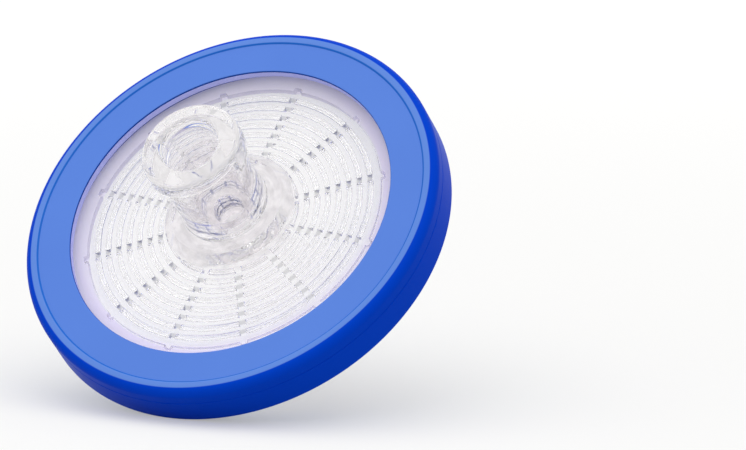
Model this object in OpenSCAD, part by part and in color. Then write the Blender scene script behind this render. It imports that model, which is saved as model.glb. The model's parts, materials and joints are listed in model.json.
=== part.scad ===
// Syringe filter: two clear moulded housings pinch a membrane, and a ring moulded over their rims
// seals them. Each outline is drawn as radius and height along the filter's axis, with the inlet's
// end face at height 0 and the outlet above it. posed() then lays the filter down as it rests,
// on the ring's rim and the outlet's tip, with the inlet facing up and towards -Y.

/* [Sealing ring] */
// Outer diameter of the ring
ring_d = 33; // [29:0.5:40]
// Width of the flat lip, from the window's edge to the outer diameter
lip_w = 3.7; // [3.2:0.1:4.5]
// Thickness of the lips over the housings' shoulders
lip_t = 1.1; // [0.5:0.05:1.2]
// Radial thickness of the ring outside the housings
ring_wall = 1.7; // [1.2:0.1:2.2]
// Width of the slope on the outlet side
bevel_w = 1.95; // [1:0.05:2.6]
// Height of the slope on the outlet side
bevel_h = 1.5; // [0.8:0.1:2]
// Radius of the rounded corner on the inlet side
corner_r = 0.7; // [0.2:0.05:0.7]
// Width of the raised band along the inlet side's outer edge
band_w = 1.15; // [1.1:0.05:1.6]
// Height that the band stands above the inlet face
band_h = 0.1; // [0.05:0.01:0.15]
// Height of the mould's parting line above the inlet face
parting_h = 1.3; // [1:0.1:2]
// Depth of the parting line
parting_t = 0.06; // [0.03:0.01:0.12]

/* [Windows and chamber] */
// Height that the ring stands above each window
window_recess = 0.1; // [0.05:0.05:0.3]
// Thickness of the inlet housing's window
inlet_window_t = 1.5; // [0.9:0.1:1.6]
// Thickness of the outlet housing's window
outlet_window_t = 1.8; // [0.9:0.1:2]
// Height of the inlet housing's ribs
inlet_rib_h = 0.4; // [0.3:0.05:1.3]
// Height of the outlet housing's ribs
outlet_rib_h = 0.7; // [0.5:0.1:1.8]
// Width of the flat land between the ribbed field and the window's edge
land_w = 1.05; // [0.8:0.05:1.6]
// Distance from one round rib to the next
rib_pitch = 0.845; // [0.7:0.005:1.2]
// Width of a rib at its root
rib_w = 0.42; // [0.3:0.02:0.55]
// Number of radial channels that cross the ribs
channel_count = 12; // [6:1:18]
// Width of a radial channel
channel_w = 0.5; // [0.3:0.05:0.8]
// Depth of a channel below the ribs' roots
channel_t = 0.03; // [0.02:0.01:0.25]
// Distance that a channel runs past the field's edge, as a notch
notch_l = 0.3; // [0.1:0.05:0.5]
// Turn of the channels about the axis
channel_turn = 5.5; // [0:0.5:30]

/* [Membrane] */
// Thickness of the membrane
membrane_t = 0.18; // [0.1:0.02:0.3]
// Width of the membrane's rim that the housings pinch
pinch_w = 1.45; // [0.6:0.05:1.5]
// Gap between the inlet ribs and the membrane
inlet_gap = 0.1; // [0.05:0.05:0.3]

/* [Inlet: female luer lock] */
// Distance from the inlet's end face to the ring's inlet face
inlet_l = 8.35; // [7.6:0.05:10]
// Outer diameter of the inlet tube
inlet_tube_d = 6.56; // [6:0.02:6.9]
// Outer diameter over the two lugs
lug_d = 7.8; // [7.2:0.05:8.2]
// Height of a lug at its low end
lug_low_h = 0.8; // [0.6:0.1:1.2]
// Height of a lug at its high end
lug_high_h = 2.1; // [1.5:0.1:2.6]
// Turn of the lugs about the axis
lug_turn = -82; // [-180:2:180]
// Diameter of the socket's mouth
socket_d = 4.29; // [4.27:0.005:4.315]
// Depth of the socket
socket_l = 7.6; // [7:0.1:8]
// Diameter of the hole from the socket's floor to the chamber
feed_d = 2.4; // [1.5:0.1:3]
// Radius of the socket's rounded mouth
mouth_r = 0.45; // [0.1:0.05:0.5]
// Diameter of the flat top of the conical hub round the inlet tube
inlet_hub_d = 8.8; // [8.6:0.1:11]
// Height of the hub above the window
inlet_hub_h = 0.75; // [0.6:0.05:1]

/* [Outlet: male slip luer] */
// Length of the tapered tip
tip_l = 8.5; // [7.5:0.1:10]
// Diameter of the tip at its end
tip_d = 3.93; // [3.925:0.005:4.027]
// Diameter of the bore
bore_d = 2; // [1.5:0.1:2.4]
// Length of the collar below the tip
collar_l = 4.7; // [3:0.1:6]
// Diameter of the collar
collar_d = 5.87; // [5.4:0.01:6.3]
// Diameter of the hub round the collar
outlet_hub_d = 6.7; // [6.6:0.1:8]
// Height of the hub above the ring's outlet face
outlet_hub_h = 0.8; // [0.6:0.1:1.2]

/* [Hidden] */
$fn = 96;

// a 6 % taper on the diameter, as luer fittings have
taper = 0.03;
// gap left between pieces that are moulded or pinched together
fit_gap = 0.02;
edge_r = 0.1;
lug_edge_r = 0.45;
tip_edge_r = 0.45;
collar_edge_r = 0.45;
rim_edge_r = 0.2;
hub_edge_r = 0.25;
tube_fillet_r = 0.7;
hub_fillet_r = 0.3;
// the rounding along the band's inner edge, which is as wide as its sloped flank allows
band_edge_r = 3 * band_h;
// one side of a rib's section, as shares of half its width and of its height
rib_side = [[1, 0], [0.55, 0.85], [0.28, 1]];
// how far a cutter reaches past the faces that it cuts
past = 1;

// radii, from the rim inwards
ring_r = ring_d / 2;
housing_r = ring_r - ring_wall;
window_r = ring_r - lip_w;
field_r = window_r - land_w;
membrane_r = field_r + pinch_w;
pocket_r = membrane_r + fit_gap;
inlet_tube_r = inlet_tube_d / 2;
lug_r = lug_d / 2;
socket_r = socket_d / 2;
socket_floor_r = socket_r - taper * socket_l;
feed_r = feed_d / 2;
inlet_hub_r = inlet_hub_d / 2;
inlet_hub_foot_r = inlet_hub_r + inlet_hub_h;
tip_r = tip_d / 2;
tip_base_r = tip_r + taper * tip_l;
bore_r = bore_d / 2;
collar_r = collar_d / 2;
outlet_hub_r = outlet_hub_d / 2;

// heights, from the inlet's end face to the outlet's tip
inlet_face_z = inlet_l;
band_z = inlet_face_z - band_h;
inlet_window_z = inlet_face_z + window_recess;
inlet_root_z = inlet_window_z + inlet_window_t;
joint_z = inlet_root_z + inlet_rib_h + inlet_gap;
seat_z = joint_z + membrane_t + 2 * fit_gap;
outlet_root_z = seat_z + outlet_rib_h;
outlet_window_z = outlet_root_z + outlet_window_t;
outlet_face_z = outlet_window_z + window_recess;
outlet_hub_z = outlet_face_z + outlet_hub_h;
collar_z = outlet_hub_z + collar_l;
tip_z = collar_z + tip_l;
inlet_shoulder_z = inlet_face_z + lip_t + fit_gap;
outlet_shoulder_z = outlet_face_z - lip_t - fit_gap;
bevel_z = outlet_face_z - bevel_h;

// the collar's end is a narrow land, and the roundings on both sides of it keep within it
collar_land = collar_r - tip_base_r;
tip_root_r = min(hub_fillet_r / 2, collar_land / 4);
collar_round_r = min(collar_edge_r, 0.9 * (collar_land - tip_root_r));

// the ribs stand a pitch apart, counted inwards from the field's edge
inlet_rib_count = floor((field_r - inlet_hub_foot_r + tube_fillet_r) / rib_pitch);
outlet_rib_count = floor((field_r - bore_r) / rib_pitch) - 1;

// the angles that faces look in, on an outline: outwards is 0 and towards the outlet is 90
bevel_angle = atan2(bevel_w, bevel_h);
taper_angle = atan(taper);

// the middle of the arc that rounds a corner between two faces
function arc_middle(corner, from, to, r) =
    corner - r * [cos(from) + cos(to), sin(from) + sin(to)] / (1 + cos(to - from));

// the points of that arc; a negative radius fills an inner corner
function fillet(corner, from, to, r, steps = 6) =
    let (middle = arc_middle(corner, from, to, r))
    [for (i = [0:steps])
        let (a = from + (to - from) * i / steps)
        middle + r * [cos(a), sin(a)]];

// the section of one rib on a root face, its crest in the direction up (1 or -1)
function rib(r, root_z, h, up) =
    let (last = len(rib_side) - 1)
    [for (i = [0:2 * last + 1])
        let (side = i > last ? -1 : 1, share = rib_side[min(i, 2 * last + 1 - i)])
        [r + up * side * share[0] * rib_w / 2, root_z + up * share[1] * h]];

// how the filter rests: the rim's edge and the tip's edge touch the floor together
rim_touch = arc_middle([ring_r, bevel_z], 0, bevel_angle, rim_edge_r);
tip_touch = arc_middle([tip_r, tip_z], taper_angle, 90, tip_edge_r);
reach = tip_touch - rim_touch;
lean = atan2(reach[1], -reach[0]) + asin((tip_edge_r - rim_edge_r) / norm(reach));
rest_h = rim_touch[0] * sin(lean) + rim_touch[1] * cos(lean) + rim_edge_r;
face_corner = [ring_r - corner_r, band_z + corner_r];
back_y = tip_touch[1] * sin(lean) + tip_touch[0] * cos(lean) + tip_edge_r;
front_y = face_corner[1] * sin(lean) - face_corner[0] * cos(lean) - corner_r;

module posed() {
    translate([0, -(back_y + front_y) / 2, rest_h]) rotate([180 + lean, 0, 0]) children();
}

module channels(inner_r, root_z, h) {
    for (i = [0:channel_count - 1])
        rotate([0, 0, channel_turn + i * 360 / channel_count])
            translate([inner_r, -channel_w / 2, root_z])
                cube([field_r + notch_l - inner_r, channel_w, h]);
}

// two ramps half a turn long, each climbing from the low height to the high one
module lugs() {
    climb = atan((lug_high_h - lug_low_h) / lug_d);
    rotate([0, 0, lug_turn])
        difference() {
            translate([0, 0, lug_edge_r]) cylinder(r = lug_r, h = lug_high_h - lug_edge_r);
            cylinder(r = (inlet_tube_r + socket_r) / 2, h = lug_high_h + past);
            for (side = [0, 180])
                rotate([0, 0, side])
                    translate([0, -lug_r, lug_low_h])
                        rotate([climb, 0, 0])
                            translate([0, -past, 0]) cube([lug_d, lug_d + 2 * past, lug_d]);
        }
}

module inlet_outline() {
    hub_z = inlet_window_z - inlet_hub_h;
    polygon(concat(
        fillet([lug_r, 0], -90, 0, lug_edge_r),
        [[lug_r, lug_low_h], [inlet_tube_r, lug_low_h]],
        fillet([inlet_tube_r, hub_z], 0, -90, -tube_fillet_r),
        fillet([inlet_hub_r, hub_z], -90, -45, hub_edge_r),
        fillet([inlet_hub_foot_r, inlet_window_z], -45, -90, -hub_fillet_r),
        [[window_r - fit_gap, inlet_window_z], [window_r - fit_gap, inlet_shoulder_z],
         [housing_r - fit_gap, inlet_shoulder_z], [housing_r - fit_gap, joint_z],
         [field_r, joint_z], [field_r, inlet_root_z]],
        [for (i = [1:inlet_rib_count])
            each rib(field_r - i * rib_pitch, inlet_root_z, inlet_rib_h, 1)],
        [[feed_r, inlet_root_z], [feed_r, socket_l], [socket_floor_r, socket_l]],
        fillet([socket_r, 0], 180 + taper_angle, 270, mouth_r)));
}

module inlet_housing() {
    channel_start_r = field_r - (inlet_rib_count + 0.5) * rib_pitch;
    color("white", 0.4) posed() {
        difference() {
            rotate_extrude() inlet_outline();
            channels(channel_start_r, inlet_root_z - channel_t, channel_t + inlet_rib_h + inlet_gap + past);
        }
        lugs();
    }
}

module outlet_outline() {
    polygon(concat(
        [[bore_r, outlet_root_z]],
        [for (i = [outlet_rib_count:-1:1])
            each rib(field_r - i * rib_pitch, outlet_root_z, outlet_rib_h, -1)],
        [[field_r, outlet_root_z], [field_r, seat_z], [pocket_r, seat_z],
         [pocket_r, joint_z + fit_gap], [housing_r - fit_gap, joint_z + fit_gap],
         [housing_r - fit_gap, outlet_shoulder_z], [window_r - fit_gap, outlet_shoulder_z],
         [window_r - fit_gap, outlet_window_z]],
        fillet([outlet_hub_r, outlet_window_z], 90, 0, -hub_fillet_r),
        fillet([outlet_hub_r, outlet_hub_z], 0, 90, hub_edge_r),
        [[collar_r, outlet_hub_z]],
        fillet([collar_r, collar_z], 0, 90, collar_round_r),
        fillet([tip_base_r, collar_z], 90, taper_angle, -tip_root_r),
        fillet([tip_r, tip_z], taper_angle, 90, tip_edge_r),
        [[bore_r, tip_z]]));
}

module outlet_housing() {
    channel_start_r = field_r - (outlet_rib_count + 0.5) * rib_pitch;
    color("white", 0.4) posed()
        difference() {
            rotate_extrude() outlet_outline();
            channels(channel_start_r, seat_z - past, past + outlet_rib_h + channel_t);
        }
}

module membrane() {
    color("white") posed()
        translate([0, 0, joint_z + fit_gap]) cylinder(r = membrane_r, h = membrane_t);
}

module ring_outline() {
    polygon(concat(
        fillet([window_r, inlet_face_z], 180, 270, edge_r),
        [[ring_r - band_w, inlet_face_z]],
        fillet([ring_r - band_w + band_h, band_z], 225, 270, band_edge_r),
        fillet([ring_r, band_z], -90, 0, corner_r),
        [[ring_r, inlet_face_z + parting_h - parting_t],
         [ring_r - parting_t, inlet_face_z + parting_h],
         [ring_r, inlet_face_z + parting_h + parting_t]],
        fillet([ring_r, bevel_z], 0, bevel_angle, rim_edge_r),
        fillet([ring_r - bevel_w, outlet_face_z], bevel_angle, 90, rim_edge_r),
        fillet([window_r, outlet_face_z], 90, 180, edge_r),
        [[window_r, outlet_face_z - lip_t], [housing_r, outlet_face_z - lip_t],
         [housing_r, inlet_face_z + lip_t], [window_r, inlet_face_z + lip_t]]));
}

module sealing_ring() {
    color("royalblue") posed() rotate_extrude() ring_outline();
}

inlet_housing();
outlet_housing();
membrane();
sealing_ring();
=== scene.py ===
# Syringe filter: two clear moulded housings round a white membrane, sealed by a blue ring.
# Sizes are in millimetres along the filter's own axis: r runs outwards, z from the inlet's end face
# towards the outlet's tip. Everything is turned into the row frame, in metres, as it is made.
import json
import math

import bmesh
import bpy
import numpy as np
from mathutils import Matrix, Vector

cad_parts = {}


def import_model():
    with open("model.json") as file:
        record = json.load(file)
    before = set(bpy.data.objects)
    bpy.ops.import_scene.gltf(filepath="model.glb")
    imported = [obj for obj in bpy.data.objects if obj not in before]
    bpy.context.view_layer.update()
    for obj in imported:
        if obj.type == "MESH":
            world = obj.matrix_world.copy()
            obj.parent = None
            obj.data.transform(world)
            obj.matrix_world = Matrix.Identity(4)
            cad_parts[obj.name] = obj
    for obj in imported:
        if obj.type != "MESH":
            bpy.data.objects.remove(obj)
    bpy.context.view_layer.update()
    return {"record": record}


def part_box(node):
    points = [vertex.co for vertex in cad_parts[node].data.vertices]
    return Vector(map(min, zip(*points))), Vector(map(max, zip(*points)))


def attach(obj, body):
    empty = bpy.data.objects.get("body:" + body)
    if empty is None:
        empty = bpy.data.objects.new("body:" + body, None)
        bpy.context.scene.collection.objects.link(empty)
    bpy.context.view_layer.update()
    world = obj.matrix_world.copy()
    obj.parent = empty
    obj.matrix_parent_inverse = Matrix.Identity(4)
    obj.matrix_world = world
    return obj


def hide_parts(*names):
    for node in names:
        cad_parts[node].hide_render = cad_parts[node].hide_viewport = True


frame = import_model()

MM = 0.001
mounts = {mount["name"]: mount for mount in frame["record"]["mounts"]}
inlet_end = Vector(mounts["inlet_luer_lock"]["pos_m"])
outlet_end = Vector(mounts["outlet_luer_slip"]["pos_m"])
axis = Vector(mounts["outlet_luer_slip"]["axis"]).normalized()
across = Vector((1, 0, 0))
upward = axis.cross(across)
ring_low, ring_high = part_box("sealing_ring")

# ---------------------------------------------------------------------------------------------
# Sizes
# ---------------------------------------------------------------------------------------------
RING_R = (ring_high.x - ring_low.x) / 2 / MM
TIP_Z = (outlet_end - inlet_end).length / MM
FIT_GAP = 0.02  # between the two housings, and round the membrane
OVERLAP = 0.02  # how far the housings run into the ring that is moulded round them
LIP_W, RING_WALL, LAND_W, PINCH_W = 3.7, 1.7, 1.05, 1.45
WINDOW_R = RING_R - LIP_W
HOUSING_R = RING_R - RING_WALL
FIELD_R = WINDOW_R - LAND_W
MEMBRANE_R = FIELD_R + PINCH_W
POCKET_R = MEMBRANE_R + FIT_GAP

# The luer ends and the ways through
LUG_R, TUBE_R, INLET_HUB_R = 3.9, 3.28, 4.4
SOCKET_R, FEED_R, BORE_R = 2.145, 1.2, 1.0
TIP_R, COLLAR_R, OUTLET_HUB_R = 1.965, 2.935, 3.35
TAPER = 0.03
SOCKET_L, TIP_L, COLLAR_L = 7.6, 8.5, 4.7

# Thicknesses and widths
WINDOW_RECESS, INLET_WINDOW_T, OUTLET_WINDOW_T = 0.1, 1.5, 1.8
INLET_HUB_H, OUTLET_HUB_H, INLET_GAP = 0.75, 0.8, 0.1
RIB_PITCH, RIB_W, INLET_RIB_H, OUTLET_RIB_H = 0.845, 0.42, 0.4, 0.7
LIP_T, BEVEL_W, BEVEL_H = 1.1, 1.95, 1.5
BAND_W, BAND_H, CORNER_R, PARTING_H = 1.15, 0.1, 0.7, 1.3

# Heights along the axis, from the inlet's end face to the outlet's tip
INLET_FACE_Z = 8.35
INLET_WINDOW_Z = INLET_FACE_Z + WINDOW_RECESS
INLET_ROOT_Z = INLET_WINDOW_Z + INLET_WINDOW_T
INLET_HUB_Z = INLET_WINDOW_Z - INLET_HUB_H
JOINT_Z = INLET_ROOT_Z + (INLET_RIB_H + INLET_GAP)
COLLAR_Z = TIP_Z - TIP_L
OUTLET_HUB_Z = COLLAR_Z - COLLAR_L
OUTLET_FACE_Z = OUTLET_HUB_Z - OUTLET_HUB_H
OUTLET_WINDOW_Z = OUTLET_FACE_Z - WINDOW_RECESS
BEVEL_Z = OUTLET_FACE_Z - BEVEL_H
OUTLET_ROOT_Z = OUTLET_WINDOW_Z - OUTLET_WINDOW_T
SEAT_Z = OUTLET_ROOT_Z - OUTLET_RIB_H
INLET_FOOT_R = INLET_HUB_R + INLET_HUB_H  # the cone's foot, on the window

# Rounded edges
END_ROUND, HUB_ROUND, HUB_FOOT, TUBE_FOOT = 0.45, 0.25, 0.3, 0.7
FEED_ROUND, FLOOR_ROUND, COLLAR_FOOT, FINE_ROUND = 0.1, 0.25, 0.15, 0.08
INLET_RIBS, OUTLET_RIBS = 8, 11
RIB_CREST_R, RIB_ROOT_R = 0.1, 0.06
CHANNELS, CHANNEL_TURN, CHANNEL_W, CHANNEL_T = 12, 5.5, 0.5, 0.01
CHANNEL_DRAFT, NOTCH_L = 0.05, 0.3
LUG_LOW, LUG_HIGH, LUG_TURN = 0.8, 2.1, -82
SECTOR = 360 / CHANNELS
COLUMNS = 18  # columns of vertices in each sector
COLUMN_START = -3.6  # degrees from a channel's middle to the first even column
STEP_TURN = 0.12  # degrees from a lug's step to the columns at either side
BESIDE = 0.03  # a row this close to a corner keeps the flat beside it flat
FIELD_INSET, NOTCH_INSET = 0.02, 0.1  # from the field's wall to the rows beside it


# ---------------------------------------------------------------------------------------------
# Outlines and the surfaces turned from them
# ---------------------------------------------------------------------------------------------
def fillet(corner, start, end, radius, steps=6):
    """The points that round a corner between two faces; a negative radius fills an inner corner."""
    a, b = math.radians(start), math.radians(end)
    back = radius / (1 + math.cos(b - a))
    middle_r = corner[0] - back * (math.cos(a) + math.cos(b))
    middle_z = corner[1] - back * (math.sin(a) + math.sin(b))
    turns = [a + (b - a) * i / steps for i in range(steps + 1)]
    return [(middle_r + radius * math.cos(t), middle_z + radius * math.sin(t)) for t in turns]


def quarter(steps):
    """Even angles from 0 to a quarter turn."""
    return [math.radians(90 * i / steps) for i in range(steps + 1)]


def held(points):
    """The same outline with a point close to each end of its long stretches, to keep flats flat."""
    out = [points[0]]
    for (r0, z0), (r1, z1) in zip(points, points[1:]):
        length = math.hypot(r1 - r0, z1 - z0)
        if length > 4 * BESIDE:
            share = BESIDE / length
            out.append((r0 + (r1 - r0) * share, z0 + (z1 - z0) * share))
            out.append((r1 + (r0 - r1) * share, z1 + (z0 - z1) * share))
        out.append((r1, z1))
    return out


def rounds(points):
    """Rows that are round all the way, one for each point of an outline."""
    return [(r, lambda turn, r=r, z=z: (r, z)) for r, z in points]


def plain(points):
    """Round rows that keep the flats of their outline flat."""
    return rounds(held(points))


def rise(r, turn):
    """0 on a channel's floor and 1 beside the channel, with a drafted wall between them."""
    off = np.radians((turn - CHANNEL_TURN + SECTOR / 2) % SECTOR - SECTOR / 2)
    return np.clip((abs(r * np.sin(off)) - CHANNEL_W / 2) / CHANNEL_DRAFT, 0, 1)


def crossed(points, floor_z, notch=0):
    """Rows that the channels cut down to their floor, and outwards by the notch."""
    return [
        (
            r,
            lambda turn, r=r, z=z: (
                r + notch * (1 - rise(r, turn)),
                z if floor_z is None else floor_z + (z - floor_z) * rise(r, turn),
            ),
        )
        for r, z in points
    ]


def even_turns(r):
    """Evenly spaced column angles, with a close pair at each of the lugs' steps."""
    count = CHANNELS * COLUMNS
    turns = CHANNEL_TURN + COLUMN_START + np.arange(count) * 360 / count
    for step in (LUG_TURN + 90, LUG_TURN + 270):
        near = int(np.floor((step - turns[0]) * count / 360))
        turns[near], turns[near + 1] = step - STEP_TURN, step + STEP_TURN
    return turns


def field_turns(r):
    """Column angles that follow both edges of each channel."""
    edge = math.degrees(math.asin(CHANNEL_W / 2 / r))
    foot = math.degrees(math.asin((CHANNEL_W / 2 + CHANNEL_DRAFT) / r))
    between = np.linspace(foot, SECTOR - foot, COLUMNS - 3)[1:-1]
    sector = np.concatenate([[-foot, -edge, 0, edge, foot], between])
    return (CHANNEL_TURN + SECTOR * np.arange(CHANNELS)[:, None] + sector).ravel()


def smooth_by_angle(mesh, limit=32):
    """Smooth faces, with sharp edges where two faces meet at more than the limit."""
    mesh.shade_smooth()
    normals = np.zeros(len(mesh.polygons) * 3, np.float32)
    mesh.polygons.foreach_get("normal", normals)
    normals = normals.reshape(-1, 3)
    edge_of_loop = np.zeros(len(mesh.loops), np.int32)
    mesh.loops.foreach_get("edge_index", edge_of_loop)
    sizes = np.zeros(len(mesh.polygons), np.int32)
    mesh.polygons.foreach_get("loop_total", sizes)
    face_of_loop = np.repeat(np.arange(len(sizes)), sizes)
    order = np.argsort(edge_of_loop, kind="stable")
    edges, faces = edge_of_loop[order], face_of_loop[order]
    pairs = np.flatnonzero(edges[1:] == edges[:-1])
    cosine = (normals[faces[pairs]] * normals[faces[pairs + 1]]).sum(1)
    sharp = np.zeros(len(mesh.edges), bool)
    sharp[edges[pairs]] = cosine < math.cos(math.radians(limit))
    mesh.attributes.new("sharp_edge", "BOOLEAN", "EDGE").data.foreach_set("value", sharp)


def turned(name, sections, closed=True):
    """A piece turned round the axis. Each section is a way to space the columns and its rows."""
    rings = []
    for turns_at, rows in sections:
        for r, shape in rows:
            turn = turns_at(r)
            radius, height = (np.broadcast_to(v, turn.shape) for v in shape(turn))
            t = np.radians(turn)
            rings.append(np.stack([radius * np.cos(t), radius * np.sin(t), height], 1))
    points = np.array(rings)
    count, columns = points.shape[:2]
    basis = np.array([across, upward, axis])
    vertices = np.array(inlet_end) + MM * points.reshape(-1, 3) @ basis
    i = np.arange(count if closed else count - 1)[:, None]
    k = np.arange(columns)[None, :]
    here, after = i * columns, (i + 1) % count * columns
    beside = (k + 1) % columns
    faces = np.stack([here + k, here + beside, after + beside, after + k], 2).reshape(-1, 4)
    mesh = bpy.data.meshes.new(name)
    mesh.from_pydata(vertices.tolist(), [], faces.tolist())
    mesh.update()
    piece = bpy.data.objects.new(name, mesh)
    bpy.context.scene.collection.objects.link(piece)
    return piece


def weld(piece):
    """Joins the vertices that meet on the axis."""
    work = bmesh.new()
    work.from_mesh(piece.data)
    bmesh.ops.remove_doubles(work, verts=work.verts, dist=1e-7)
    work.to_mesh(piece.data)
    work.free()


# ---------------------------------------------------------------------------------------------
# The housings' shared features
# ---------------------------------------------------------------------------------------------
def rib_side(height):
    """One side of a rib's section, from root to crest, as distance from its middle and height."""
    half = RIB_W / 2
    inset, draft = 0.017, 0.003
    root = [(half + RIB_ROOT_R + FIELD_INSET, 0), (half + RIB_ROOT_R, 0)]
    root += [(half + inset, inset), (half - draft, RIB_ROOT_R)]
    crest = [(RIB_CREST_R * math.cos(t), height - RIB_CREST_R * (1 - math.sin(t))) for t in quarter(5)]
    return root + crest


def rib(r, root_z, height, up):
    """The outline of one round rib, whose crest points up (1) or down (-1)."""
    side = rib_side(height)
    whole = side + [(-offset, lift) for offset, lift in reversed(side[:-1])]
    return [(r + up * offset, root_z + up * lift) for offset, lift in whole]


def field_ribs(count, root_z, height, up):
    """The rows of a ribbed field, from its outer rib inwards."""
    rows = []
    for i in range(1, count + 1):
        rows += rib(FIELD_R - i * RIB_PITCH, root_z, height, up)
    return rows


def lug_top(r, turn):
    """The height of the lugs' sloping back: two ramps, each half a turn long."""
    half_turn = (turn - LUG_TURN + 90) % 180 - 90
    along = r * np.sin(np.radians(half_turn))
    return LUG_LOW + (LUG_HIGH - LUG_LOW) * (along + LUG_R) / (2 * LUG_R)


def ramped(points):
    """Rows on the lugs' sloping back, each at a radius and a drop below or above it."""
    return [(r, lambda turn, r=r, drop=drop: (r, lug_top(r, turn) + drop)) for r, drop in points]


# ---------------------------------------------------------------------------------------------
# Pieces
# ---------------------------------------------------------------------------------------------
def inlet_housing():
    """The disc with the luer-lock socket: its outside, its rim, its ribbed field and its inside."""
    edge, root, below_lugs, floor_inset = 0.1, 0.12, 0.4, 0.2
    back_edge = [(LUG_R - edge * (1 - math.cos(t)), -edge * (1 - math.sin(t))) for t in quarter(4)]
    back_root = [(TUBE_R + root * (1 - math.sin(t)), root * (1 - math.cos(t))) for t in quarter(4)]
    outside = (
        plain(fillet((LUG_R, 0), -90, 0, END_ROUND, 8))
        + ramped(back_edge)
        + ramped(back_root)
        + plain(
            [(TUBE_R, LUG_HIGH + below_lugs)]
            + fillet((TUBE_R, INLET_HUB_Z), 0, -90, -TUBE_FOOT, 8)
            + fillet((INLET_HUB_R, INLET_HUB_Z), -90, -45, HUB_ROUND)
            + fillet((INLET_FOOT_R, INLET_WINDOW_Z), -45, -90, -HUB_FOOT)
        )
    )
    lip_z = INLET_FACE_Z + LIP_T - OVERLAP
    rim = plain(
        [
            (WINDOW_R + OVERLAP, INLET_WINDOW_Z),
            (WINDOW_R + OVERLAP, lip_z),
            (HOUSING_R + OVERLAP, lip_z),
            (HOUSING_R + OVERLAP, JOINT_Z),
            (FIELD_R + NOTCH_L + NOTCH_INSET, JOINT_Z),
        ]
    )
    channel_z = INLET_ROOT_Z - CHANNEL_T
    wall = crossed([(FIELD_R, JOINT_Z), (FIELD_R, JOINT_Z - BESIDE)], None, NOTCH_L)
    wall += crossed([(FIELD_R, INLET_ROOT_Z + BESIDE), (FIELD_R, INLET_ROOT_Z)], channel_z, NOTCH_L)
    ribs = field_ribs(INLET_RIBS, INLET_ROOT_Z, INLET_RIB_H, 1)
    last_r = FIELD_R - (INLET_RIBS + 0.5) * RIB_PITCH
    field = crossed([(FIELD_R - FIELD_INSET, INLET_ROOT_Z)] + ribs, channel_z)
    field += crossed([(last_r, INLET_ROOT_Z)], channel_z)
    field += plain([(last_r - CHANNEL_DRAFT, INLET_ROOT_Z)])
    socket_floor_r, slope = SOCKET_R - TAPER * SOCKET_L, 180 + math.degrees(math.atan(TAPER))
    inside = plain(
        [(last_r - floor_inset, INLET_ROOT_Z)]
        + fillet((FEED_R, INLET_ROOT_Z), 90, 180, FEED_ROUND, 4)
        + fillet((FEED_R, SOCKET_L), 180, 270, FEED_ROUND, 4)
        + fillet((socket_floor_r, SOCKET_L), 270, slope, -FLOOR_ROUND)
        + fillet((SOCKET_R, 0), slope, 270, END_ROUND, 8)
    )
    sections = [(even_turns, outside), (field_turns, rim + wall + field), (even_turns, inside)]
    return turned("inlet_housing_clear", sections)


def outlet_housing():
    """The disc with the slip-luer tip: its bore's mouth, its ribbed field, its rim and its outside."""
    centre = plain(fillet((BORE_R, OUTLET_ROOT_Z), 180, 270, FEED_ROUND, 4))
    channel_z = OUTLET_ROOT_Z + CHANNEL_T
    first_r = FIELD_R - (OUTLET_RIBS + 0.5) * RIB_PITCH
    ribs = field_ribs(OUTLET_RIBS, OUTLET_ROOT_Z, OUTLET_RIB_H, -1)[::-1]
    field = plain([(first_r - CHANNEL_DRAFT, OUTLET_ROOT_Z)])
    field += crossed([(first_r, OUTLET_ROOT_Z)], channel_z)
    field += crossed(ribs + [(FIELD_R - FIELD_INSET, OUTLET_ROOT_Z)], channel_z)
    wall = crossed([(FIELD_R, OUTLET_ROOT_Z), (FIELD_R, OUTLET_ROOT_Z - BESIDE)], channel_z, NOTCH_L)
    wall += crossed([(FIELD_R, SEAT_Z + BESIDE), (FIELD_R, SEAT_Z)], None, NOTCH_L)
    lip_z = OUTLET_FACE_Z - LIP_T + OVERLAP
    rim = plain(
        [
            (FIELD_R + NOTCH_L + NOTCH_INSET, SEAT_Z),
            (POCKET_R, SEAT_Z),
            (POCKET_R, JOINT_Z + FIT_GAP),
            (HOUSING_R + OVERLAP, JOINT_Z + FIT_GAP),
            (HOUSING_R + OVERLAP, lip_z),
            (WINDOW_R + OVERLAP, lip_z),
            (WINDOW_R + OVERLAP, OUTLET_WINDOW_Z),
        ]
    )
    slope = math.degrees(math.atan(TAPER))
    outside = plain(
        fillet((OUTLET_HUB_R, OUTLET_WINDOW_Z), 90, 0, -HUB_FOOT)
        + fillet((OUTLET_HUB_R, OUTLET_HUB_Z), 0, 90, HUB_ROUND)
        + fillet((COLLAR_R, OUTLET_HUB_Z), 90, 0, -FINE_ROUND, 4)
        + fillet((COLLAR_R, COLLAR_Z), 0, 90, END_ROUND, 8)
        + fillet((TIP_R + TAPER * TIP_L, COLLAR_Z), 90, slope, -COLLAR_FOOT)
        + fillet((TIP_R, TIP_Z), slope, 90, END_ROUND, 8)
        + fillet((BORE_R, TIP_Z), 90, 180, FINE_ROUND, 4)
    )
    sections = [(even_turns, centre), (field_turns, field + wall + rim), (even_turns, outside)]
    return turned("outlet_housing_clear", sections)


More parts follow.
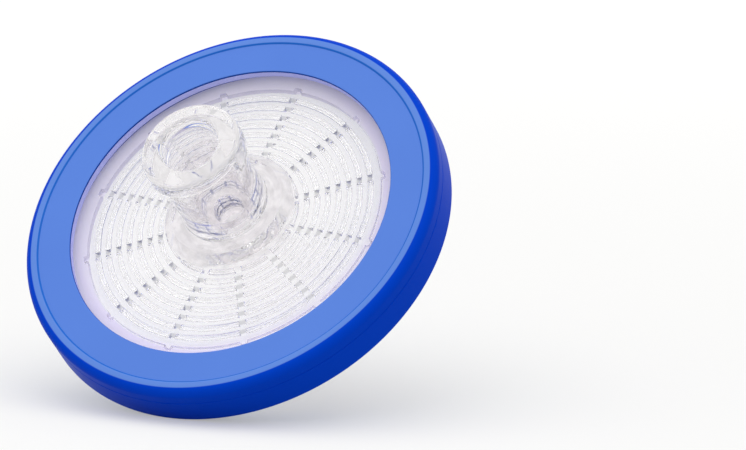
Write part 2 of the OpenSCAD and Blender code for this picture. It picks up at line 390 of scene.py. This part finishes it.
def membrane():
    """A disc that sags a little between the ribs that it lies on; both housings press on its rim."""
    sag, bite, step = 0.02, 0.01, RIB_PITCH / 8
    first_r, flat_r, press_w = 0.2, 2, 0.1
    low, high = JOINT_Z + FIT_GAP, SEAT_Z - FIT_GAP
    pressed_low, pressed_high = JOINT_Z - bite, SEAT_Z + bite
    radii = [0.0] + [FIELD_R - i * step for i in range(int((FIELD_R - first_r) / step), 0, -1)]

    def wave(r):
        return sag * (1 - math.cos(2 * math.pi * (FIELD_R - r) / RIB_PITCH)) / 2 if r > flat_r else sag

    inner = [(r, low + wave(r)) for r in radii]
    outer = [(r, high - sag + wave(r)) for r in radii]
    for side, z in ((inner, pressed_low), (outer, pressed_high)):
        side += [(FIELD_R, z), (FIELD_R + press_w, z), (MEMBRANE_R, z)]
    piece = turned("membrane_disc", [(even_turns, rounds(inner + outer[::-1]))], closed=False)
    weld(piece)
    return piece


def sealing_ring():
    """The ring: a raised band and a fine parting line outside, and a groove for the rims inside."""
    parting_z, parting_t, edge_r, rim_r = INLET_FACE_Z + PARTING_H, 0.06, 0.1, 0.2
    parting = [
        (RING_R, parting_z - parting_t),
        (RING_R - parting_t, parting_z),
        (RING_R, parting_z + parting_t),
    ]
    band_z = INLET_FACE_Z - BAND_H
    bevel_angle = math.degrees(math.atan2(BEVEL_W, OUTLET_FACE_Z - BEVEL_Z))
    rows = plain(
        fillet((WINDOW_R, INLET_FACE_Z), 180, 270, edge_r)
        + [(RING_R - BAND_W, INLET_FACE_Z)]
        + fillet((RING_R - BAND_W + BAND_H, band_z), 225, 270, 3 * BAND_H)
        + fillet((RING_R, band_z), -90, 0, CORNER_R, 12)
        + parting
        + fillet((RING_R, BEVEL_Z), 0, bevel_angle, rim_r)
        + fillet((RING_R - BEVEL_W, OUTLET_FACE_Z), bevel_angle, 90, rim_r)
        + fillet((WINDOW_R, OUTLET_FACE_Z), 90, 180, edge_r)
        + [
            (WINDOW_R, OUTLET_FACE_Z - LIP_T),
            (HOUSING_R, OUTLET_FACE_Z - LIP_T),
            (HOUSING_R, INLET_FACE_Z + LIP_T),
            (WINDOW_R, INLET_FACE_Z + LIP_T),
        ]
    )
    return turned("sealing_ring_blue", [(lambda r: np.arange(360.0), rows)])


# ---------------------------------------------------------------------------------------------
# Finishes
# ---------------------------------------------------------------------------------------------
class Wire:
    """A node's output in a finish. Sums on wires add Math nodes."""

    def __init__(self, finish, socket):
        self.finish, self.socket = finish, socket

    def math(self, operation, first, second):
        return self.finish.node("ShaderNodeMath", {"operation": operation}, {0: first, 1: second})

    def __add__(self, other):
        return self.math("ADD", self, other)

    def __sub__(self, other):
        return self.math("SUBTRACT", self, other)

    def __rsub__(self, other):
        return self.math("SUBTRACT", other, self)

    def __mul__(self, other):
        return self.math("MULTIPLY", self, other)

    def __pow__(self, other):
        return self.math("POWER", self, other)

    __radd__, __rmul__ = __add__, __mul__


class Finish:
    """The nodes of a material or of the world, all made by one method."""

    def __init__(self, owner):
        owner.use_nodes = True
        self.owner, self.tree = owner, owner.node_tree
        self.tree.nodes.clear()

    def node(self, kind, settings=None, inputs=None, output=0):
        made = self.tree.nodes.new(kind)
        for name, value in (settings or {}).items():
            setattr(made, name, value)
        for name, value in (inputs or {}).items():
            if isinstance(value, Wire):
                self.tree.links.new(value.socket, made.inputs[name])
            else:
                made.inputs[name].default_value = value
        return Wire(self, made.outputs[output]) if made.outputs else None

    def vector(self, operation, first, second, output=0):
        settings, inputs = {"operation": operation}, {0: first, 1: second}
        return self.node("ShaderNodeVectorMath", settings, inputs, output)

    def along_axis(self, place):
        """The distance from the filter's axis and the height along it, in millimetres."""
        offset = self.vector("SUBTRACT", place, inlet_end)
        outwards = self.vector("CROSS_PRODUCT", offset, axis)
        r = self.vector("LENGTH", outwards, (0, 0, 0), "Value")
        return r * (1 / MM), self.vector("DOT_PRODUCT", offset, axis, "Value") * (1 / MM)

    def from_channel(self, place, r):
        """The distance from the middle of the nearest channel, in millimetres."""
        offset = self.vector("SUBTRACT", place, inlet_end)
        sideways = self.vector("DOT_PRODUCT", offset, across, "Value")
        upwards = self.vector("DOT_PRODUCT", offset, upward, "Value")
        turn = sideways.math("ARCTAN2", upwards, sideways) * (180 / math.pi)
        off = turn.math("FLOORED_MODULO", turn - (CHANNEL_TURN - SECTOR / 2), SECTOR) - SECTOR / 2
        return off.math("ABSOLUTE", off, 0) * (math.pi / 180) * r

    def step(self, value, low, high):
        """A soft step from 0 at the low value to 1 at the high one."""
        inputs = {"Value": value, "From Min": low, "From Max": high}
        return self.node("ShaderNodeMapRange", {"interpolation_type": "SMOOTHSTEP"}, inputs)

    def fall(self, value, low, high):
        """A soft step from 1 at the low value to 0 at the high one."""
        return 1 - self.step(value, low, high)

    def within(self, value, rising, falling):
        """1 between two soft steps, each given by its two ends, and 0 outside them."""
        return self.step(value, *rising) * self.fall(value, *falling)

    def blend(self, factor, first, second):
        return self.node("ShaderNodeMix", {"data_type": "RGBA"}, {0: factor, 6: first, 7: second}, 2)

    def noise(self, place, scale, detail):
        return self.node("ShaderNodeTexNoise", {}, {"Vector": place, "Scale": scale, "Detail": detail})

    def bump(self, height, strength, distance):
        inputs = {"Strength": strength, "Distance": distance, "Height": height}
        return self.node("ShaderNodeBump", {}, inputs)

    def mixed(self, factor, first, second):
        return self.node("ShaderNodeMixShader", {}, {0: factor, 1: first, 2: second})

    def end(self, shader, kind="ShaderNodeOutputMaterial"):
        self.node(kind, {}, {"Surface": shader})
        return self.owner


def clear_plastic():
    """Polished clear plastic, with painted blue light from the ring at its rim, painted shade where
    seen edge-on, at the ribs' gaps and on the frosted wall, and streaked near the filter's axis.
    """
    finish = Finish(bpy.data.materials.new("clear_plastic"))
    field_tint, field_edge_shade = (0.99, 0.985, 0.99, 1), (0.84, 0.82, 0.88, 1)
    rim_painted_ring_light, rim_edge_shade_and_ring_light = (0.95, 0.905, 1, 1), (0.74, 0.71, 0.98, 1)
    streak_dark, streak_light = (0.78, 0.755, 0.775, 1), (0.95, 0.925, 0.94, 1)
    flange_tint, flange_side_z, streaks_z = (1, 0.99, 0.985, 1), 1.5, 4
    gap_painted_shade, gap_rough = (0.56, 0.56, 0.57, 1), 0.3
    wall_painted_shade, wall_rough = (0.6, 0.58, 0.7, 1), 0.6
    place = finish.node("ShaderNodeTexCoord", output="Object")
    r, z = finish.along_axis(place)
    flow = finish.noise(place, scale=220, detail=1)
    haze = finish.noise(place, scale=2600, detail=3)
    streaks = finish.noise(place, scale=900, detail=2)
    # Painted shade: the plastic is coloured darker where it is seen edge-on
    painted_edge_shade = finish.node("ShaderNodeLayerWeight", {}, {"Blend": 0.5}, "Facing") ** 4

    # The ribbed field and the rim round it, with painted shade where the plastic is seen edge-on, and
    # painted blue light from the ring on the rim
    middle = finish.blend(painted_edge_shade, field_tint, field_edge_shade)
    # Painted light: the rim is tinted lavender for the blue light that the ring sends into the plastic
    rim = finish.blend(painted_edge_shade, rim_painted_ring_light, rim_edge_shade_and_ring_light)
    colour = finish.blend(finish.step(r, FIELD_R, FIELD_R + 0.5), middle, rim)

    # Hubs, tubes and tip, all streaked except for the flange at the inlet's end
    near_axis = finish.fall(r, INLET_FOOT_R - 0.3, INLET_FOOT_R + 0.2)
    flange = finish.fall(z, flange_side_z, streaks_z)
    streaked = finish.blend(finish.step(streaks, 0.42, 0.58), streak_dark, streak_light)
    colour = finish.blend(near_axis, colour, finish.blend(flange, streaked, flange_tint))

    # The gaps where the channels cross the inlet side's ribs: rougher, and painted darker grey as
    # painted shade
    from_channel = finish.from_channel(place, r)
    near_channel = finish.fall(from_channel, CHANNEL_W / 2, CHANNEL_W / 2 + CHANNEL_DRAFT)
    from_rib = r.math("PINGPONG", FIELD_R - r, RIB_PITCH / 2)
    near_rib = finish.fall(from_rib, RIB_W / 2 - 0.04, RIB_W / 2)
    foot, last = (INLET_FOOT_R, INLET_FOOT_R + 0.2), (FIELD_R - RIB_PITCH / 2, FIELD_R - 0.4)
    top, bottom = (INLET_ROOT_Z - 0.06, INLET_ROOT_Z - 0.04), (JOINT_Z - 0.06, JOINT_Z - 0.02)
    gap = near_channel * near_rib * finish.within(r, foot, last) * finish.within(z, top, bottom)
    colour = finish.blend(gap, colour, gap_painted_shade)

    # The frosted wall round the inlet side's field, with the channels' notches: rough, and painted
    # darker violet as painted shade
    notch_r = FIELD_R + NOTCH_L
    front, back = (FIELD_R - 0.02, FIELD_R - 0.01), (notch_r + 0.02, notch_r + 0.05)
    top, bottom = (INLET_ROOT_Z, INLET_ROOT_Z + 0.02), (JOINT_Z - 0.02, JOINT_Z - 0.01)
    frosted_and_shaded = finish.within(r, front, back) * finish.within(z, top, bottom)
    colour = finish.blend(frosted_and_shaded, colour, wall_painted_shade)

    height = flow + near_axis * (1 - flange) * streaks * 4
    glass = finish.node(
        "ShaderNodeBsdfPrincipled",
        {},
        {
            "Base Color": colour,
            "Roughness": 0.005 + haze * 0.01 + gap * gap_rough + frosted_and_shaded * wall_rough,
            "Transmission Weight": 0.98,
            "IOR": 1.5,
            "Normal": finish.bump(height, strength=0.02, distance=0.0001),
        },
    )
    # Light for the membrane and the floor passes straight through
    passed = finish.node("ShaderNodeBsdfTransparent")
    diffuse = finish.node("ShaderNodeLightPath", output="Is Diffuse Ray")
    shadow = finish.node("ShaderNodeLightPath", output="Is Shadow Ray")
    return finish.end(finish.mixed(shadow, finish.mixed(diffuse, glass, passed), passed))


def white_membrane():
    """A matt microporous sheet, slightly cloudy, with painted blue light from the ring on its pinched
    rim.
    """
    finish = Finish(bpy.data.materials.new("white_membrane"))
    cloud_dark, cloud_light = (0.93, 0.925, 0.925, 1), (0.96, 0.955, 0.955, 1)
    rim_painted_ring_light = (0.94, 0.885, 0.99, 1)
    place = finish.node("ShaderNodeTexCoord", output="Object")
    r, _ = finish.along_axis(place)
    cloud = finish.noise(place, scale=500, detail=3)
    pores = finish.noise(place, scale=30000, detail=2)
    colour = finish.blend(cloud, cloud_dark, cloud_light)
    # Painted light: the pinched rim is tinted lavender for the blue light that the ring sends through
    # the plastic
    colour = finish.blend(finish.step(r, FIELD_R + 0.05, FIELD_R + 0.1), colour, rim_painted_ring_light)
    shader = finish.node(
        "ShaderNodeBsdfPrincipled",
        {},
        {
            "Base Color": colour,
            "Roughness": 0.8 + pores * 0.1,
            "Specular IOR Level": 0.2,
            "Normal": finish.bump(pores, strength=0.3, distance=0.00001),
        },
    )
    return finish.end(shader)


def blue_plastic():
    """Slightly translucent blue plastic: pale on the face, partly from its thin plastic and partly as
    painted sheen; painted shade deep on the side and inside the window; painted light pale behind the
    clear plastic.
    """
    finish = Finish(bpy.data.materials.new("blue_plastic"))
    face_sheen_dark, face_sheen_light = (0.105, 0.232, 0.73, 1), (0.12, 0.26, 0.79, 1)
    band_sheen_dark, band_sheen_light = (0.12, 0.255, 0.73, 1), (0.14, 0.285, 0.79, 1)
    painted_shade_side_dark, painted_shade_side_light = (0.0, 0.05, 0.58, 1), (0.0, 0.062, 0.67, 1)
    line_painted_shade = (0.02, 0.15, 0.62, 1)
    behind_clear_painted_light, bare_wall_painted_shade = (0.40, 0.43, 0.88, 1), (0.001, 0.045, 0.33, 1)
    place = finish.node("ShaderNodeTexCoord", output="Object")
    r, z = finish.along_axis(place)
    flow = finish.noise(place, scale=90, detail=2)
    grain = finish.noise(place, scale=9000, detail=2)

    # The flat face and the raised band at its edge, pale partly from the thin plastic and partly as
    # painted sheen, and a painted shade line between them
    band_r = RING_R - BAND_W
    face = finish.blend(flow, face_sheen_dark, face_sheen_light)
    band = finish.blend(flow, band_sheen_dark, band_sheen_light)
    colour = finish.blend(finish.step(r, band_r + 0.08, band_r + 0.14), face, band)
    # Painted shade: a deeper blue line at the foot of the band's step
    painted_shade_line = finish.within(r, (band_r - 0.02, band_r + 0.03), (band_r + 0.1, band_r + 0.16))
    colour = finish.blend(painted_shade_line, colour, line_painted_shade)

    # The side, from the rounded corner to the bevel, painted deep blue as painted shade
    corner_r = RING_R - 0.55
    side = finish.step(r, corner_r - 0.05, corner_r + 0.05) * finish.fall(z, BEVEL_Z - 0.1, BEVEL_Z)
    colour = finish.blend(side, colour, finish.blend(flow, painted_shade_side_dark, painted_shade_side_light))

    # The window's wall, painted dark blue as painted shade where bare outside the clear plastic, and
    # painted pale as painted light behind it
    inner = finish.fall(r, WINDOW_R + 0.01, WINDOW_R + 0.06)
    bare = finish.fall(z, INLET_WINDOW_Z + 0.07, INLET_WINDOW_Z + 0.1)
    bare += finish.step(z, OUTLET_WINDOW_Z, OUTLET_WINDOW_Z + 0.03)
    colour = finish.blend(inner, colour, finish.blend(bare, behind_clear_painted_light, bare_wall_painted_shade))

    shader = finish.node(
        "ShaderNodeBsdfPrincipled",
        {},
        {
            "Base Color": colour,
            "Roughness": 0.3 + flow * 0.08,
            "IOR": 1.08,
            "Normal": finish.bump(grain, strength=0.06, distance=0.00003),
        },
    )
    # A little light gets through to the floor
    passed = finish.node("ShaderNodeBsdfTransparent", {}, {"Color": (0.08, 0.08, 0.09, 1)})
    shadow = finish.node("ShaderNodeLightPath", output="Is Shadow Ray")
    return finish.end(finish.mixed(shadow, shader, passed))


# ---------------------------------------------------------------------------------------------
# Stage
# ---------------------------------------------------------------------------------------------
def seen(finish, straight, round_about):
    """One strength for what is seen straight, another for what is mirrored or seen through clear
    plastic, and 0 for light that falls on things."""
    outputs = ("Is Camera Ray", "Is Glossy Ray", "Is Transmission Ray")
    direct, mirrored, through = (finish.node("ShaderNodeLightPath", output=name) for name in outputs)
    indirect = mirrored.math("MAXIMUM", mirrored, through) * round_about
    return direct.math("MAXIMUM", direct * straight, indirect)


def floor():
    """A white floor that keeps the shadow and glows brighter farther from the filter."""
    half = 3
    corners = [(-half, -half, 0), (half, -half, 0), (half, half, 0), (-half, half, 0)]
    mesh = bpy.data.meshes.new("floor")
    mesh.from_pydata(corners, [], [(0, 1, 2, 3)])
    piece = bpy.data.objects.new("floor", mesh)
    bpy.context.scene.collection.objects.link(piece)
    finish = Finish(bpy.data.materials.new("floor_white"))
    diffuse = finish.node("ShaderNodeBsdfDiffuse", {}, {"Color": (0.585, 0.583, 0.575, 1)})
    place = finish.node("ShaderNodeTexCoord", output="Object")
    from_filter = finish.vector("LENGTH", place, (0, 0, 0), "Value")
    far = finish.step(from_filter, 0.03, 0.5)
    strength = seen(finish, 0.345 + far * 0.3, 0.3 + far * 0.1)
    glow = finish.node("ShaderNodeEmission", {}, {"Color": (1, 1, 1, 1), "Strength": strength})
    mesh.materials.append(finish.end(finish.node("ShaderNodeAddShader", {}, {0: diffuse, 1: glow})))
    return piece


def world():
    """White light from all round, a little brighter where it is looked at."""
    finish = Finish(bpy.data.worlds.new("studio"))
    strength = 0.66 + seen(finish, 0.32, 0.25)
    sky = finish.node("ShaderNodeBackground", {}, {"Color": (1, 1, 1, 1), "Strength": strength})
    bpy.context.scene.world = finish.end(sky, "ShaderNodeOutputWorld")


def lamp(name, place, size, power, mirrored):
    """A square lamp that shines on the filter. Only a mirrored one shows on or through its plastic."""
    target = Vector((0, 0, 0.01))
    data = bpy.data.lights.new(name, "AREA")
    data.size, data.energy = size, power
    made = bpy.data.objects.new(name, data)
    made.location = place
    made.rotation_euler = (target - Vector(place)).to_track_quat("-Z", "Y").to_euler()
    made.visible_glossy = made.visible_transmission = mirrored
    bpy.context.scene.collection.objects.link(made)


def camera():
    """A long lens, a little above the filter and to the right of its inlet side."""
    target, distance = Vector((6.854, 8.398, 12.073)) * MM, 430
    azimuth, elevation = math.radians(27.345), math.radians(9.985)
    level = math.cos(elevation)
    back = Vector((math.sin(azimuth) * level, -math.cos(azimuth) * level, math.sin(elevation)))
    data = bpy.data.cameras.new("camera")
    data.lens, data.sensor_width = 273.1, 36
    data.clip_start, data.clip_end = 0.01, 20
    made = bpy.data.objects.new("camera", data)
    made.location = target + back * distance * MM
    made.rotation_euler = (-back).to_track_quat("-Z", "Y").to_euler()
    bpy.context.scene.collection.objects.link(made)
    bpy.context.scene.camera = made


# ---------------------------------------------------------------------------------------------
# Making
# ---------------------------------------------------------------------------------------------
clear = clear_plastic()
for make, node, slot, finish in (
    (inlet_housing, "inlet_housing", "clear_housing", clear),
    (outlet_housing, "outlet_housing", "clear_housing", clear),
    (membrane, "membrane", "membrane_white", white_membrane()),
    (sealing_ring, "sealing_ring", "ring_blue", blue_plastic()),
):
    piece = make()
    smooth_by_angle(piece.data)
    piece.data.materials.append(finish)
    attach(piece, "root")
    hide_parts(node)

floor()
world()
lamp("softbox", (0.02, -0.02, 0.5), size=0.85, power=1.7, mirrored=False)
lamp("softbox_front", (-0.2, -0.13, 0.46), size=0.8, power=0.36, mirrored=True)
camera()

# Light is mirrored many times in the clear plastic before it leaves
BOUNCES = 64
scene = bpy.context.scene
scene.view_settings.view_transform = "Standard"
scene.cycles.max_bounces = BOUNCES
scene.cycles.glossy_bounces = BOUNCES
scene.cycles.transmission_bounces = BOUNCES
scene.cycles.transparent_max_bounces = 48
